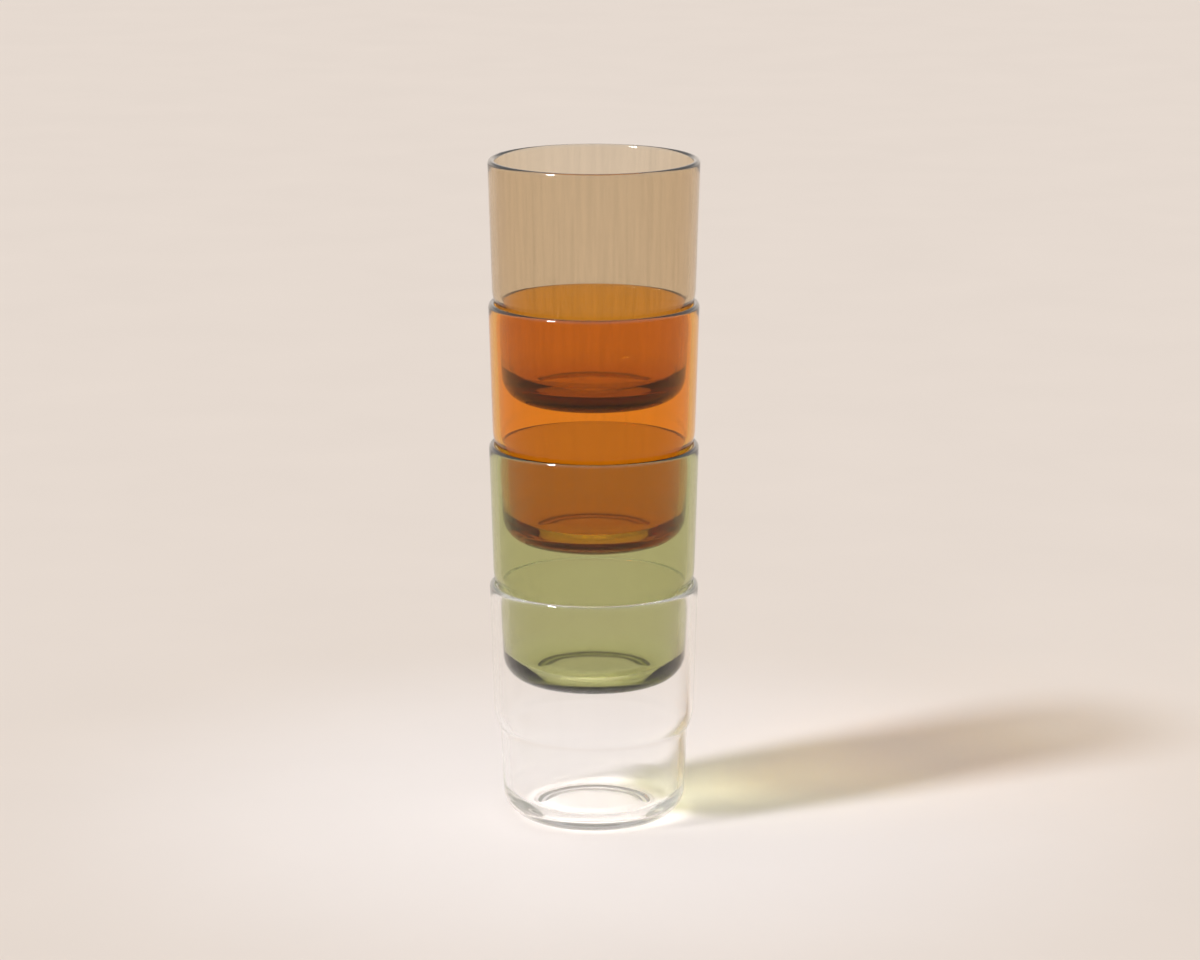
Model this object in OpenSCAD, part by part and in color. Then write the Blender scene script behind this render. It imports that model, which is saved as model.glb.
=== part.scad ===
// Column of four stacking cortado tumblers in tinted glass.
// Every tumbler is pressed in the same mould, a body of revolution: a thin upper wall with a
// fire-polished round lip, a soft shoulder, a narrower lower section with a rounded heel, and
// a base with a shallow arched recess inside its foot ring. Only the thickness of the base
// differs, because the gobs of glass differ in weight. The shoulder of each tumbler seats on
// the lip of the one below it, so its lower section hangs inside the mouth with a gap all round.

/* [Rim and upper wall] */
// Outer diameter of the rim
rim_diameter = 66; // [56:1:80]
// Height of one tumbler from foot to lip
glass_height = 76; // [70:1:95]
// Thickness of the upper wall, which is also the diameter of the round lip
lip_thickness = 2.2; // [1.7:0.1:2.8]
// Draft of the upper wall, in degrees from upright
upper_draft = 1.7; // [1:0.1:2.2]

/* [Shoulder and lower section] */
// Height of the corner where the upper wall turns into the shoulder
shoulder_height = 32.5; // [26:0.1:38]
// Slope of the shoulder, in degrees from upright
shoulder_slope = 26; // [18:1:40]
// Radius that rounds the upper edge of the shoulder
shoulder_round = 14; // [6:0.5:16]
// Radius of the hollow under the shoulder
waist_round = 5; // [2:0.5:8]
// Draft of the lower section, in degrees from upright
lower_draft = 2.5; // [1:0.1:4]
// Radius of the rounded heel
heel_round = 9; // [5:0.5:12]

/* [Lower wall and foot] */
// Thickness of the wall of the lower section
lower_wall = 2.2; // [1.8:0.1:4]
// Radius where the inner wall turns into the inner floor
floor_round = 6.5; // [4:0.5:12]
// Width of the flat ring that the tumbler stands on
foot_width = 1.6; // [0.8:0.1:4]
// Depth of the recess inside the foot ring
recess_depth = 1.6; // [0.6:0.1:2.5]
// Radius that arches the recess from its middle down to its flank
recess_arch = 12; // [4:0.5:16]
// Radius that rounds the edge between the recess and the foot ring
recess_round = 0.5; // [0.4:0.1:1.5]

/* [Thickness of the bases] */
// Height of the clear tumbler's inner floor above its foot
clear_base = 4.3; // [4:0.1:10]
// Height of the green tumbler's inner floor above its foot
green_base = 4.3; // [4:0.1:10]
// Height of the amber tumbler's inner floor above its foot
amber_base = 5; // [4:0.1:10]
// Height of the smoke tumbler's inner floor above its foot
smoke_base = 6; // [4:0.1:10]

/* [Stack] */
// Gap all round between the waist of a nested tumbler and the mouth that holds it
nest_clearance = 1; // [0.8:0.1:2]
// Gap between a shoulder and the lip that it seats on
seat_clearance = 0.2; // [0.1:0.05:0.5]

/* [Hidden] */

// Facets of a full turn
$fn = 128;
// How far a cutting outline runs past what it cuts
overrun = 1;
// How far a rounding arc bites into the straight edges that it joins
arc_bite = 0.0005;
// How far the patch that holds an arc runs on along those edges
patch_run = 0.3;
// How far out the patch reaches, as a share of the distance from the arc's centre
patch_share = 1.2;
// Slope of the flank of the recess, in degrees from upright
recess_slope = 63;
// Share of a slope that the roundings at its two ends may use up
rounding_share = 0.95;

// A line in the section is a point and a lean, in degrees from upright, outwards going up

// The point at height z on a leaning line
function along(point, lean, z) = [point.x + (z - point.y) * tan(lean), z];
// A point moved square to a leaning line, towards the axis
function inset(point, lean, wall) = point - wall * [cos(lean), -sin(lean)];
// The height at which two leaning lines cross
function cross_z(p, lean_p, q, lean_q) =
    (q.x - p.x + p.y * tan(lean_p) - q.y * tan(lean_q)) / (tan(lean_p) - tan(lean_q));
// The point at which two leaning lines cross
function meet(p, lean_p, q, lean_q) = along(p, lean_p, cross_z(p, lean_p, q, lean_q));

function unit(v) = v / norm(v);
function turn_sign(a, b, c) = sign((b.x - a.x) * (c.y - b.y) - (b.y - a.y) * (c.x - b.x));
// The centre of the arc that rounds a corner
function arc_centre(before, corner, after, radius) =
    let (
        u = unit(before - corner),
        v = unit(after - corner)
    )
    corner + radius / sin(acos(u * v) / 2) * unit(u + v);
// The point on an edge at which the arc of its corner ends, run on along the edge
function arc_end(corner, toward, centre, radius, run) =
    corner + (sqrt(norm(centre - corner) ^ 2 - radius ^ 2) + run) * unit(toward - corner);
// How far two roundings reach along the slope between their corners
function reach_sum(round_a, turn_a, round_b, turn_b) =
    round_a * tan(turn_a / 2) + round_b * tan(turn_b / 2);

rim_radius = rim_diameter / 2;
mouth_radius = rim_radius - lip_thickness;
lip_radius = lip_thickness / 2;
lip_centre = [rim_radius - lip_radius, glass_height - lip_radius];
lip_outer = inset(lip_centre, upper_draft, -lip_radius);
lip_inner = inset(lip_centre, upper_draft, lip_radius);

// Corners of the outside
shoulder_corner = along(lip_outer, upper_draft, shoulder_height);
waist_radius = mouth_radius - nest_clearance;
waist_drop = (shoulder_corner.x - waist_radius) / tan(shoulder_slope);
waist_corner = [waist_radius, shoulder_height - waist_drop];
heel_corner = along(waist_corner, lower_draft, 0);

// The two outer roundings of the shoulder, limited by the slope between them
shoulder_turn = shoulder_slope - upper_draft;
waist_turn = shoulder_slope - lower_draft;
outer_reach = reach_sum(shoulder_round, shoulder_turn, waist_round, waist_turn);
outer_fit_share = min(1, rounding_share * norm(shoulder_corner - waist_corner) / outer_reach);
shoulder_arc = shoulder_round * outer_fit_share;
waist_arc = waist_round * outer_fit_share;

// The foot ring lies inside the heel, and the recess inside the foot ring
heel_reach = heel_round * tan((90 - lower_draft) / 2);
recess_turn = 90 - recess_slope;
recess_reach = reach_sum(recess_arch, recess_turn, recess_round, recess_turn);
recess_flank = recess_depth / cos(recess_slope);
recess_fit_share = min(1, rounding_share * recess_flank / recess_reach);
arch_arc = recess_arch * recess_fit_share;
edge_arc = recess_round * recess_fit_share;
edge_reach = edge_arc * tan(recess_turn / 2);
recess_corner = [heel_corner.x - heel_reach - foot_width - edge_reach, 0];
recess_top = along(recess_corner, -recess_slope, recess_depth);

// Corners of the inside, above its floor
shoulder_wall = (lip_thickness + lower_wall) / 2;
slope_inner = inset(shoulder_corner, shoulder_slope, shoulder_wall);
lower_inner = inset(waist_corner, lower_draft, lower_wall);
inner_shoulder = meet(lip_inner, upper_draft, slope_inner, shoulder_slope);
inner_waist = meet(slope_inner, shoulder_slope, lower_inner, lower_draft);

// The two inner roundings follow the outer ones through the thickness of the wall
inner_shoulder_round = shoulder_arc - shoulder_wall;
inner_waist_round = waist_arc + shoulder_wall;
inner_reach = reach_sum(inner_shoulder_round, shoulder_turn, inner_waist_round, waist_turn);
inner_fit_share = min(1, rounding_share * norm(inner_shoulder - inner_waist) / inner_reach);

// A tumbler comes to rest where its rounded shoulder, or the slope below it, meets the lip
seat_centre = arc_centre(lip_outer, shoulder_corner, waist_corner, shoulder_arc);
seat_reach = shoulder_arc + lip_radius + seat_clearance;
seat_angle = acos((lip_centre.x - seat_centre.x) / seat_reach);
seat_line = inset(shoulder_corner, shoulder_slope, -lip_radius - seat_clearance);
seat_on_arc = seat_centre.y - seat_reach * sin(seat_angle);
seat_on_slope = seat_line.y + (lip_centre.x - seat_line.x) / tan(shoulder_slope);
seat_height = seat_angle < shoulder_slope ? seat_on_arc : seat_on_slope;
stack_pitch = lip_centre.y - seat_height;

// The disc of a rounding arc, kept to the patch around its corner
module arc_patch(before, corner, after, radius) {
    centre = arc_centre(before, corner, after, radius);
    rim_points = [
        arc_end(corner, before, centre, radius, patch_run),
        corner,
        arc_end(corner, after, centre, radius, patch_run)
    ];
    intersection() {
        translate(centre)
            circle(r = radius + arc_bite);
        polygon([centre, for (p = rim_points) centre + patch_share * (p - centre)]);
    }
}

// A closed outline through its corners, anticlockwise, with each corner rounded by its radius
module rounded_outline(corners, radii) {
    count = len(corners);
    before = [for (i = [0 : count - 1]) corners[(i + count - 1) % count]];
    after = [for (i = [0 : count - 1]) corners[(i + 1) % count]];
    centres = [for (i = [0 : count - 1]) arc_centre(before[i], corners[i], after[i], radii[i])];
    turns = [for (i = [0 : count - 1]) turn_sign(before[i], corners[i], after[i])];
    difference() {
        union() {
            polygon([
                for (i = [0 : count - 1])
                    for (toward = radii[i] > 0 ? [before[i], after[i]] : [before[i]])
                        arc_end(corners[i], toward, centres[i], radii[i], 0)
            ]);
            for (i = [0 : count - 1])
                if (radii[i] > 0 && turns[i] > 0)
                    arc_patch(before[i], corners[i], after[i], radii[i]);
        }
        for (i = [0 : count - 1])
            if (radii[i] > 0 && turns[i] < 0)
                arc_patch(before[i], corners[i], after[i], radii[i]);
    }
}

// The outside of a tumbler as a full shape, from the recess to the middle of the lip
module outside_section() {
    lid = lip_centre + (lip_centre.x + overrun) * [-1, tan(upper_draft)];
    rounded_outline(
        [[-overrun, recess_depth], recess_top, recess_corner, heel_corner, waist_corner,
            shoulder_corner, lip_outer, lid],
        [0, arch_arc, edge_arc, heel_round, waist_arc, shoulder_arc, 0, 0]
    );
}

// The hollow of a tumbler over its base, open at the mouth
module hollow_section(base) {
    inner_heel = along(lower_inner, lower_draft, base);
    above = glass_height + overrun;
    rounded_outline(
        [[-overrun, base], inner_heel, inner_waist, inner_shoulder,
            along(lip_inner, upper_draft, above), [-overrun, above]],
        [0, floor_round, inner_waist_round * inner_fit_share,
            inner_shoulder_round * inner_fit_share, 0, 0]
    );
}

// Half section of one tumbler, beside its axis
module tumbler_section(base) {
    difference() {
        outside_section();
        hollow_section(base);
        translate([-rim_diameter, -overrun])
            square([rim_diameter, glass_height + 2 * overrun]);
    }
    translate(lip_centre)
        circle(r = lip_radius + arc_bite);
}

// One tumbler, at its place in the column counted from the bottom
module tumbler(place, base) {
    translate([0, 0, place * stack_pitch])
        rotate_extrude()
            tumbler_section(base);
}

module clear_glass() {
    color([0.86, 0.89, 0.88, 0.35])
        tumbler(0, clear_base);
}

module green_glass() {
    color([0.55, 0.57, 0.3, 0.6])
        tumbler(1, green_base);
}

module amber_glass() {
    color([0.86, 0.45, 0.1, 0.6])
        tumbler(2, amber_base);
}

module smoke_glass() {
    color([0.62, 0.51, 0.38, 0.6])
        tumbler(3, smoke_base);
}

clear_glass();
green_glass();
amber_glass();
smoke_glass();
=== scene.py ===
# %% [markdown]
# # A column of four cortado tumblers in tinted glass
# Four equal pressed tumblers stand inside each other: clear at the foot, then green, amber and smoke.
# The CAD model fixes where every tumbler stands, so this lesson starts by loading it as a frame.
# The box of each CAD part is kept, and gives the foot and rim height of its tumbler.

# %% Load the frame
import math

import bmesh
import bpy
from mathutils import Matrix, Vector


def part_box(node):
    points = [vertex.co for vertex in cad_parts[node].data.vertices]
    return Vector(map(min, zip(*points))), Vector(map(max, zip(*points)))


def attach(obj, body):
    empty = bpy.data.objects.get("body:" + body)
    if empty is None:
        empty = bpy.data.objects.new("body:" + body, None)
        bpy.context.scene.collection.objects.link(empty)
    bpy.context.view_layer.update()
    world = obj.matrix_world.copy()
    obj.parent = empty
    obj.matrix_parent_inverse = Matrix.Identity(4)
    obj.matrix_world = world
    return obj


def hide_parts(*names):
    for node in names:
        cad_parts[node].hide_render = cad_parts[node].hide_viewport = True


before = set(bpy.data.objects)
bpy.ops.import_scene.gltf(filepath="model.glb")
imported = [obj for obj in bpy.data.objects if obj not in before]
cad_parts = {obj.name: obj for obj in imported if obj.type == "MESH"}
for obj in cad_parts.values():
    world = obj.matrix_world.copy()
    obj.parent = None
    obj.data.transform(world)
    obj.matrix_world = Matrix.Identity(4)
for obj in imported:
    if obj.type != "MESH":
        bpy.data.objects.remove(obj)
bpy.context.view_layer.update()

scene = bpy.context.scene
print("CAD nodes:", sorted(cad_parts))

# %% [markdown]
# ## The sizes of one tumbler
# A pressed tumbler is a body of revolution, so half of its section says everything about its shape.
# All four come from one mould; only the thickness of the base differs, as gobs of glass differ in weight.
# The section could be read off the CAD mesh, but that mesh is made of coarse facets, which show in glass.
# The design's own sizes are repeated here instead, in metres, and the corners are worked out from them.
# A wall is a line with a lean, in radians from upright, and a corner is where two such lines cross.

# %% Driving sizes and corners
MM = 0.001
ML = 1e-6
rim_radius = 33 * MM
glass_height = 76 * MM
lip_thickness = 2.2 * MM
upper_draft = math.radians(1.7)
shoulder_height = 32.5 * MM
shoulder_slope = math.radians(26)
shoulder_round = 14 * MM
waist_round = 5 * MM
lower_draft = math.radians(2.5)
heel_round = 9 * MM
lower_wall = 2.2 * MM
floor_round = 6.5 * MM
foot_width = 1.6 * MM
recess_depth = 1.6 * MM
recess_arch = 12 * MM
recess_round = 0.5 * MM
recess_slope = math.radians(63)
nest_clearance = 1 * MM
base_thickness = {
    "clear_glass": 4.3 * MM,
    "green_glass": 4.3 * MM,
    "amber_glass": 5 * MM,
    "smoke_glass": 6 * MM,
}


def along(point, lean, height):
    """The point at that height on a leaning line."""
    return Vector((point.x + (height - point.y) * math.tan(lean), height))


def inset(point, lean, wall):
    """A point moved square to a leaning line, towards the axis."""
    return point - wall * Vector((math.cos(lean), -math.sin(lean)))


def meet(p, lean_p, q, lean_q):
    """The point at which two leaning lines cross."""
    rise = q.x - p.x + p.y * math.tan(lean_p) - q.y * math.tan(lean_q)
    return along(p, lean_p, rise / (math.tan(lean_p) - math.tan(lean_q)))


lip_radius = lip_thickness / 2
lip_centre = Vector((rim_radius - lip_radius, glass_height - lip_radius))
lip_outer = inset(lip_centre, upper_draft, -lip_radius)
lip_inner = inset(lip_centre, upper_draft, lip_radius)

shoulder_corner = along(lip_outer, upper_draft, shoulder_height)
waist_radius = rim_radius - lip_thickness - nest_clearance
waist_drop = (shoulder_corner.x - waist_radius) / math.tan(shoulder_slope)
waist_corner = Vector((waist_radius, shoulder_height - waist_drop))
heel_corner = along(waist_corner, lower_draft, 0)

heel_reach = heel_round * math.tan((math.pi / 2 - lower_draft) / 2)
edge_reach = recess_round * math.tan((math.pi / 2 - recess_slope) / 2)
recess_corner = heel_corner - Vector((heel_reach + foot_width + edge_reach, 0))
recess_top = along(recess_corner, -recess_slope, recess_depth)

shoulder_wall = (lip_thickness + lower_wall) / 2
slope_inner = inset(shoulder_corner, shoulder_slope, shoulder_wall)
lower_inner = inset(waist_corner, lower_draft, lower_wall)
inner_shoulder = meet(lip_inner, upper_draft, slope_inner, shoulder_slope)
inner_waist = meet(slope_inner, shoulder_slope, lower_inner, lower_draft)
print("shoulder corner:", shoulder_corner, "waist corner:", waist_corner)

# %% [markdown]
# ## Drawing the half section
# Every corner of the pressed glass is round, because hot glass never fills a sharp one.
# A vertex bevel rounds the corners of a wire, but only a square corner comes out as a true arc.
# Glass shows each change of curvature as a line, so the arcs here are spun: a vertex is put where the arc
# starts and is turned about the arc's centre. The straight stretches are extruded from the arc's last vertex.

# %% A pen that draws lines and arcs
ARC_STEP = math.radians(7.5)
LEAST_ARC_STEPS = 4
WALL_STEP = 4 * MM


def to_space(point):
    """A point of the section, radius and height, in the plane y = 0."""
    return Vector((point.x, 0, point.y))


def draw_line(bm, pen, point):
    """Extrudes the pen's vertex to a point of the section, in steps, and returns the last vertex."""
    way = to_space(point) - pen.co
    steps = max(1, round(way.length / WALL_STEP))
    for _ in range(steps):
        grown = bmesh.ops.extrude_vert_indiv(bm, verts=[pen])
        pen = grown["verts"][0]
        pen.co += way / steps
    return pen


def draw_arc(bm, pen, centre, turn):
    """Spins the pen's vertex about a centre, anticlockwise for a positive turn; returns the last vertex."""
    steps = max(LEAST_ARC_STEPS, math.ceil(abs(turn) / ARC_STEP))
    spun = bmesh.ops.spin(
        bm, geom=[pen], cent=to_space(centre), axis=(0, -1, 0), angle=turn, steps=steps
    )
    return spun["geom_last"][0]


def round_corner(bm, pen, before, corner, after, radius):
    """Draws up to a corner and round it, and returns the last vertex."""
    back = (before - corner).normalized()
    ahead = (after - corner).normalized()
    turn = (-back).angle_signed(ahead)
    reach = radius * math.tan(abs(turn) / 2)
    centre = corner + (back + ahead).normalized() * math.hypot(radius, reach)
    pen = draw_line(bm, pen, corner + back * reach)
    return draw_arc(bm, pen, centre, -turn)


# %% The section of a tumbler
outer_corners = [
    (recess_top, recess_arch),
    (recess_corner, recess_round),
    (heel_corner, heel_round),
    (waist_corner, waist_round),
    (shoulder_corner, shoulder_round),
]
inner_corners = [
    (inner_shoulder, shoulder_round - shoulder_wall),
    (inner_waist, waist_round + shoulder_wall),
]
recess_centre = Vector((0, recess_depth))


def draw_wall(bm, pen, start, corners, end):
    """Draws round each corner between two points of the section and returns the last vertex."""
    places = [start] + [corner for corner, _ in corners] + [end]
    for i, (corner, radius) in enumerate(corners):
        pen = round_corner(bm, pen, places[i], corner, places[i + 2], radius)
    return draw_line(bm, pen, end)


def draw_section(bm, base):
    """Draws a tumbler's half section, from under its base, over the lip and down to its inner floor."""
    pen = bm.verts.new(to_space(recess_centre))
    pen = draw_wall(bm, pen, recess_centre, outer_corners, lip_outer)
    pen = draw_arc(bm, pen, lip_centre, math.pi)
    inner_heel = along(lower_inner, lower_draft, base)
    corners = inner_corners + [(inner_heel, floor_round)]
    draw_wall(bm, pen, lip_inner, corners, Vector((0, base)))


# %% [markdown]
# ## From the section to a tumbler
# On a lathe or in a press the section goes once round the axis, and a full spin does the same.
# A Screw modifier would do that too, but a spin leaves a plain mesh.
# The spin leaves doubled vertices on the axis and may point its faces inwards, so doubles are merged first
# and the normals are recalculated after that. Many steps and smooth shading keep the refraction clean.

# %% Spin a tumbler
SPIN_STEPS = 256
MERGE_DISTANCE = 0.001 * MM


def make_tumbler(name, foot, base):
    """A tumbler as a mesh object at the origin, with its foot at that height and a base of that thickness."""
    bm = bmesh.new()
    draw_section(bm, base)
    bmesh.ops.spin(
        bm, geom=bm.verts[:] + bm.edges[:], cent=(0, 0, 0), axis=(0, 0, 1),
        angle=2 * math.pi, steps=SPIN_STEPS, use_merge=True,
    )
    bmesh.ops.remove_doubles(bm, verts=bm.verts, dist=MERGE_DISTANCE)
    bmesh.ops.recalc_face_normals(bm, faces=bm.faces)
    bmesh.ops.translate(bm, verts=bm.verts, vec=(0, 0, foot))
    for face in bm.faces:
        face.smooth = True
    open_edges = sum(not edge.is_manifold for edge in bm.edges)
    volume = bm.calc_volume(signed=True)
    mesh = bpy.data.meshes.new(name)
    bm.to_mesh(mesh)
    bm.free()
    tumbler = bpy.data.objects.new(name, mesh)
    scene.collection.objects.link(tumbler)
    print(f"{name}: {len(mesh.polygons)} faces, {open_edges} open edges, {volume / ML:.3f} ml of glass")
    return tumbler


# %% [markdown]
# ## Shader maths as Python
# A material here is a handful of patterns that are added and scaled.
# A small class wraps a node's output, so that plus, minus and times add Math nodes by themselves,
# and one method makes every other kind of node from its settings and its sockets.

# %% A signal in a node tree
class Signal:
    """An output socket of a node tree that can be used in Python expressions."""

    def __init__(self, tree, socket=None):
        self.tree = tree
        self.socket = socket

    def node(self, kind, settings, sockets, output=0):
        """Adds a node, sets it up, fills or links its sockets and returns one of its outputs."""
        made = self.tree.nodes.new(kind)
        for key, value in settings.items():
            if key == "stops":
                made.color_ramp.elements.remove(made.color_ramp.elements[0])
                made.color_ramp.elements[0].position, made.color_ramp.elements[0].color = value[0]
                for place, colour in value[1:]:
                    made.color_ramp.elements.new(place).color = colour
            else:
                setattr(made, key, value)
        for key, value in sockets.items():
            if isinstance(value, Signal):
                self.tree.links.new(value.socket, made.inputs[key])
            else:
                made.inputs[key].default_value = value
        return Signal(self.tree, made.outputs[output] if made.outputs else None)

    def math(self, operation, first, second):
        """A Math node on two values, each a number or a signal."""
        return self.node("ShaderNodeMath", {"operation": operation}, {0: first, 1: second})

    def __add__(self, other):
        return self.math("ADD", self, other)

    def __radd__(self, other):
        return self.math("ADD", other, self)

    def __sub__(self, other):
        return self.math("SUBTRACT", self, other)

    def __rsub__(self, other):
        return self.math("SUBTRACT", other, self)

    def __mul__(self, other):
        return self.math("MULTIPLY", self, other)

    def __rmul__(self, other):
        return self.math("MULTIPLY", other, self)


def new_material(name):
    """An empty node material and a signal to build it with."""
    material = bpy.data.materials.new(name)
    material.use_nodes = True
    material.node_tree.nodes.clear()
    return material, Signal(material.node_tree)


# %% [markdown]
# ## The glass
# The edges and lips of these tumblers stay pale while their thick bases are deep in colour.
# A tint in the body of the glass takes light on every millimetre of its way and would turn the lips nearly
# black, and a stain on its skin alone would leave the base as pale as the wall. So each glass gets both:
# a base colour for the skin, and an absorption per metre and channel for the volume.
# Hot glass that is pressed and drawn out of its mould keeps faint upright streaks and a slow waviness, which
# bend what is seen through the wall; a very low bump gives both. The streaks are also tinted a shade deeper,
# partly the streaky tone of the glass and partly painted shade for the dark streaks that refraction and
# shadows lay in the wall.
# The lip is polished in a flame, and a coat on its round lets it catch the light as a pale line.
# A shadow ray passes straight through, a little dimmed, so the shadow of the glass is pale and not black.

# %% Tinted glass
GLASS_IOR = 1.5
GLASS_GLOSS = (0.45, 0.45, 0.45, 1)
LIP_POLISH_IOR = 2.0
STREAKS_PER_METRE = (520, 520, 18)
STREAK_DETAIL = 3.0
STREAK_START = 0.45
STREAK_FULL = 0.75
STREAK_HEIGHT = 0.004 * MM
WAVES_PER_METRE = (90, 90, 45)
WAVE_DETAIL = 1.0
WAVE_HEIGHT = 0.03 * MM
HANDLING_PER_METRE = (70, 70, 70)
HANDLING_DETAIL = 4.0
POLISH = 0.01
SMEAR = 0.05
LAMP_PASS = (0.85, 0.85, 0.85, 1)

# The colour sockets of a Mix node, which have the same names as its number sockets
COLOUR_A = 6
COLOUR_B = 7
COLOUR_RESULT = 2


def noise_at(place, density, detail):
    """A noise pattern on the object, with so many marks to the metre along each axis."""
    spread = place.node("ShaderNodeVectorMath", {"operation": "MULTIPLY"}, {0: place, 1: density}, "Vector")
    return place.node("ShaderNodeTexNoise", {}, {"Vector": spread, "Scale": 1.0, "Detail": detail}, "Fac")


def mix_colours(desk, blend, factor, first, second):
    """A Mix node on two colours, of which the second may be a shade of grey."""
    settings = {"data_type": "RGBA", "blend_type": blend}
    return desk.node("ShaderNodeMix", settings, {0: factor, COLOUR_A: first, COLOUR_B: second}, COLOUR_RESULT)


def tinted_glass(name, rim, skin, absorption, streak_tone_and_painted_shade):
    """Glass whose skin passes that share of light through a wall and whose body absorbs so much a metre."""
    material, desk = new_material(name)
    place = desk.node("ShaderNodeTexCoord", {}, {}, "Object")
    streaks = noise_at(place, STREAKS_PER_METRE, STREAK_DETAIL)
    waves = noise_at(place, WAVES_PER_METRE, WAVE_DETAIL)
    handling = noise_at(place, HANDLING_PER_METRE, HANDLING_DETAIL)

    height = desk.node("ShaderNodeSeparateXYZ", {}, {0: place}, "Z")
    lip = desk.node(
        "ShaderNodeMapRange", {"interpolation_type": "SMOOTHSTEP"},
        {"Value": height, "From Min": rim - lip_radius, "From Max": rim - lip_radius / 2},
    )
    # Painted shade: along the streaks the skin's tint is made a shade deeper, partly the glass's tone and
    # partly shade.
    streak_tone_and_shade_mask = desk.node(
        "ShaderNodeMapRange", {}, {"Value": streaks, "From Min": STREAK_START, "From Max": STREAK_FULL}
    )
    toned = mix_colours(desk, "MULTIPLY", 1.0, skin, 1 - streak_tone_and_painted_shade * streak_tone_and_shade_mask)
    relief = streaks * STREAK_HEIGHT + waves * WAVE_HEIGHT
    normal = desk.node("ShaderNodeBump", {}, {"Height": relief, "Distance": 1.0, "Strength": 1.0}, "Normal")
    glass = desk.node(
        "ShaderNodeBsdfPrincipled", {},
        {
            "Base Color": toned,
            "Roughness": POLISH + SMEAR * handling * handling,
            "IOR": GLASS_IOR,
            "Specular Tint": GLASS_GLOSS,
            "Transmission Weight": 1.0,
            "Coat Weight": lip,
            "Coat IOR": LIP_POLISH_IOR,
            "Normal": normal,
        },
    )
    through = desk.node("ShaderNodeBsdfTransparent", {}, {"Color": LAMP_PASS})
    shadow_ray = desk.node("ShaderNodeLightPath", {}, {}, "Is Shadow Ray")
    surface = desk.node("ShaderNodeMixShader", {}, {0: shadow_ray, 1: glass, 2: through})
    density = max(absorption)
    body = [1 - share / density for share in absorption] + [1]
    volume = desk.node("ShaderNodeVolumeAbsorption", {}, {"Color": body, "Density": density})
    desk.node("ShaderNodeOutputMaterial", {}, {"Surface": surface, "Volume": volume})
    print(f"{name}: density {density} per metre, colour {[round(share, 2) for share in body[:3]]}")
    return material


# %% [markdown]
# ## The four tumblers
# The frame says at which height each tumbler's foot stands. Each new mesh takes the place of its CAD solid,
# which is hidden, rides on that solid's body and gets its tint as its one material.

# %% Make and place the tumblers
SKIN = {
    "clear_glass": (0.998, 0.999, 0.998, 1),
    "green_glass": (0.804, 0.814, 0.639, 1),
    "amber_glass": (0.97, 0.56, 0.114, 1),
    "smoke_glass": (0.929, 0.885, 0.812, 1),
}
ABSORPTION_PER_METRE = {
    "clear_glass": (0.45, 0.3, 0.4),
    "green_glass": (61, 57, 125),
    "amber_glass": (15, 42, 160),
    "smoke_glass": (48, 82, 141),
}
# How much deeper the tint gets along the streaks: partly the glass's own tone, partly painted shade.
STREAK_TONE_AND_PAINTED_SHADE = {"clear_glass": 0.01, "green_glass": 0.03, "amber_glass": 0.05, "smoke_glass": 0.1}

for node, absorption in ABSORPTION_PER_METRE.items():
    lowest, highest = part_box(node)
    tumbler = make_tumbler(node.replace("glass", "tumbler"), lowest.z, base_thickness[node])
    tint = tinted_glass(
        node.replace("glass", "tint"), highest.z, SKIN[node], absorption, STREAK_TONE_AND_PAINTED_SHADE[node]
    )
    tumbler.data.materials.append(tint)
    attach(tumbler, node)
    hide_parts(node)
    print(f"{node}: stands at {lowest.z / MM:.2f} mm, CAD height {(highest.z - lowest.z) / MM:.2f} mm")

# %% [markdown]
# ## The floor
# Glass shows what is behind it, so the floor is half of its look. A wide pale disc of fine plaster stands in
# for the studio's sweep: rosy white round the object and a little deeper and warmer farther out. That outer
# ring is partly the plaster's own tone and partly painted shade, which darkens what is seen through the
# glass.

# %% A pale plaster floor
FLOOR_RADIUS = 20.0
NEAR_COLOUR = (0.95, 0.88, 0.85, 1)
# The colour farther out: partly the plaster's deeper tone, partly painted shade.
FAR_TONE_AND_PAINTED_SHADE = (0.83, 0.74, 0.67, 1)
NEAR_REACH = 0.05
FAR_REACH = 0.22
PLASTER_PER_METRE = (14, 14, 14)
PLASTER_DETAIL = 6.0
PLASTER_SHADE = 0.05
PLASTER_ROUGHNESS = 0.9
FLOOR_SEGMENTS = 96


def pale_plaster():
    """Pale plaster with faint clouds, lightest round the middle; farther out partly deeper tone, partly
    painted shade.
    """
    material, desk = new_material("pale_plaster")
    place = desk.node("ShaderNodeTexCoord", {}, {}, "Object")
    distance = desk.node("ShaderNodeVectorMath", {"operation": "LENGTH"}, {0: place}, "Value")
    # Painted shade: this ramp darkens the floor farther out from the object, together with its deeper tone.
    far_tone_and_shade_mask = desk.node(
        "ShaderNodeMapRange", {"interpolation_type": "SMOOTHSTEP"},
        {"Value": distance, "From Min": NEAR_REACH, "From Max": FAR_REACH},
    )
    clouds = noise_at(place, PLASTER_PER_METRE, PLASTER_DETAIL)
    colour = mix_colours(desk, "MIX", far_tone_and_shade_mask, NEAR_COLOUR, FAR_TONE_AND_PAINTED_SHADE)
    toned = mix_colours(desk, "MULTIPLY", 1.0, colour, 1 - PLASTER_SHADE * clouds)
    plaster = desk.node("ShaderNodeBsdfPrincipled", {}, {"Base Color": toned, "Roughness": PLASTER_ROUGHNESS})
    desk.node("ShaderNodeOutputMaterial", {}, {"Surface": plaster})
    return material


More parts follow.
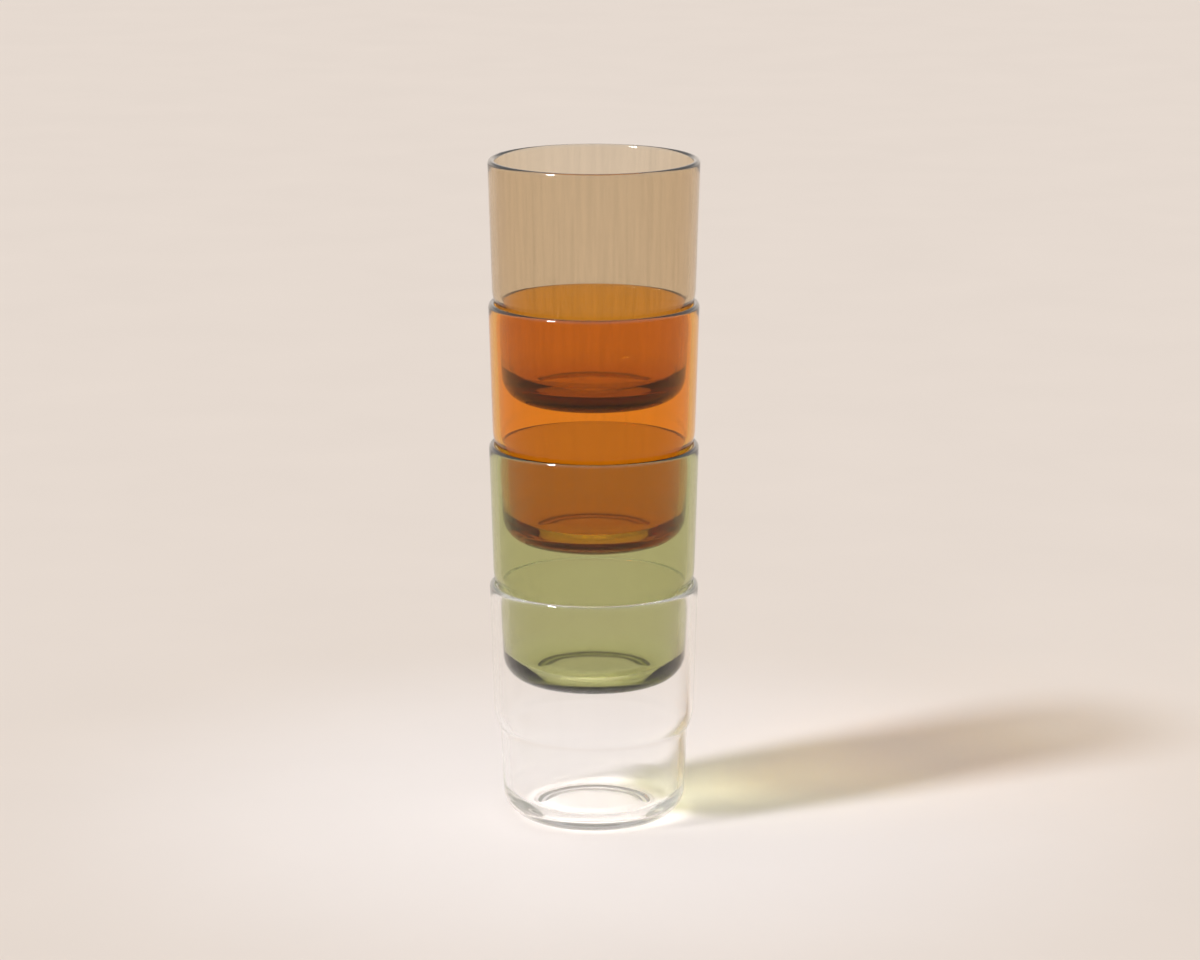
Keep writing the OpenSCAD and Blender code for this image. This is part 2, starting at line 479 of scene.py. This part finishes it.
bm = bmesh.new()
bmesh.ops.create_circle(bm, cap_ends=True, segments=FLOOR_SEGMENTS, radius=FLOOR_RADIUS)
floor_mesh = bpy.data.meshes.new("studio_floor")
bm.to_mesh(floor_mesh)
bm.free()
studio_floor = bpy.data.objects.new("studio_floor", floor_mesh)
scene.collection.objects.link(studio_floor)
studio_floor.data.materials.append(pale_plaster())
print("floor radius:", FLOOR_RADIUS, "m")

# %% [markdown]
# ## The light
# Glass is lit by its surroundings: a pale band behind it, a dimmer room round it that draws its edges, and a
# slightly lighter ceiling. The world holds these three, and one soft lamp from the left of the camera gives
# the small highlights on the lips and the shadow on the floor. Together they light a white floor
# to about white.

# %% World and key lamp
HORIZON = (0.8, 0.72, 0.65, 1)
ROOM = (0.4, 0.39, 0.38, 1)
CEILING = (0.45, 0.45, 0.45, 1)
HORIZON_TOP = 0.2
ROOM_FOOT = 0.36
ROOM_TOP = 0.68
CEILING_FOOT = 0.86
KEY_POWER = 2.25
KEY_SPREAD = math.radians(8)
KEY_HEIGHT = math.radians(48)
KEY_SIDE = math.radians(-60)

world = bpy.data.worlds.new("studio")
scene.world = world
world.use_nodes = True
world.node_tree.nodes.clear()
desk = Signal(world.node_tree)
direction = desk.node("ShaderNodeTexCoord", {}, {}, "Generated")
upward = desk.node("ShaderNodeSeparateXYZ", {}, {0: direction}, "Z")
stops = [
    (0.0, HORIZON), (HORIZON_TOP, HORIZON),
    (ROOM_FOOT, ROOM), (ROOM_TOP, ROOM), (CEILING_FOOT, CEILING),
]
dome = desk.node("ShaderNodeValToRGB", {"stops": stops}, {"Fac": upward}, "Color")
background = desk.node("ShaderNodeBackground", {}, {"Color": dome, "Strength": 1.0})
desk.node("ShaderNodeOutputWorld", {}, {"Surface": background})

key = bpy.data.lights.new("key", "SUN")
key.energy = KEY_POWER
key.angle = KEY_SPREAD
key_lamp = bpy.data.objects.new("key", key)
key_lamp.rotation_euler = (math.pi / 2 - KEY_HEIGHT, 0, KEY_SIDE)
scene.collection.objects.link(key_lamp)
print("key lamp turned by:", [round(math.degrees(a), 1) for a in key_lamp.rotation_euler])

# %% [markdown]
# ## The camera
# The rims of the four tumblers open as ellipses that grow towards the foot, which fixes the camera's height
# and distance. A long lens stands well back, so the upright walls stay nearly parallel.
# Light has to pass many walls of glass, and a ray that is given up early leaves a black edge,
# so the paths are long.

# %% Camera and light paths
IMAGE_WIDTH_PX = 1200
FOCAL_PX = 4070
SENSOR_WIDTH_MM = 36
CAMERA_PLACE = (0.0019, -1.25, 0.397)
CAMERA_PITCH = math.radians(12.98)
GLASS_BOUNCES = 128
SHADOW_BOUNCES = 48

camera_data = bpy.data.cameras.new("camera")
camera_data.sensor_fit = "HORIZONTAL"
camera_data.sensor_width = SENSOR_WIDTH_MM
camera_data.lens = FOCAL_PX / IMAGE_WIDTH_PX * SENSOR_WIDTH_MM
camera = bpy.data.objects.new("camera", camera_data)
camera.location = CAMERA_PLACE
camera.rotation_euler = (math.pi / 2 - CAMERA_PITCH, 0, 0)
scene.collection.objects.link(camera)
scene.camera = camera

scene.cycles.max_bounces = GLASS_BOUNCES
scene.cycles.transmission_bounces = GLASS_BOUNCES
scene.cycles.glossy_bounces = GLASS_BOUNCES
scene.cycles.transparent_max_bounces = SHADOW_BOUNCES
scene.view_settings.view_transform = "Standard"
print(f"lens: {camera_data.lens:.1f} mm")
